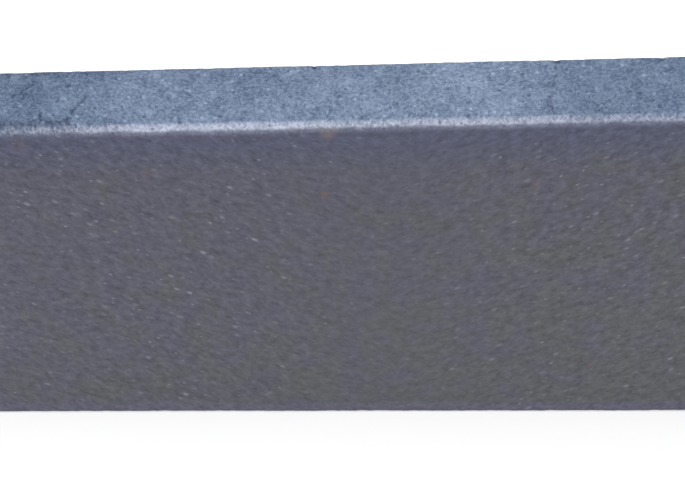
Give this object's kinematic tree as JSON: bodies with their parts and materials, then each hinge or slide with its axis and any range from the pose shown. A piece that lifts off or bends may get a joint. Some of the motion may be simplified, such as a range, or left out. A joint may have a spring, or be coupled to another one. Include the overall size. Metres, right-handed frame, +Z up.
{
  "type": "kerb stone",
  "caption": "Square-section precast concrete kerb stone with a rounded nosing, a worn pale edge and small bevels; edges a road against a footway.",
  "frame": {"origin": "middle of the bed face, on the ground", "axes": "+X along the kerb line, +Y from the road face towards the footway, +Z up"},
  "size_m": [0.914, 0.125, 0.255],
  "materials": {
    "concrete": "matte"
  },
  "bodies": {
    "root": {"kerb_stone": "concrete"}
  },
  "joints": []
}
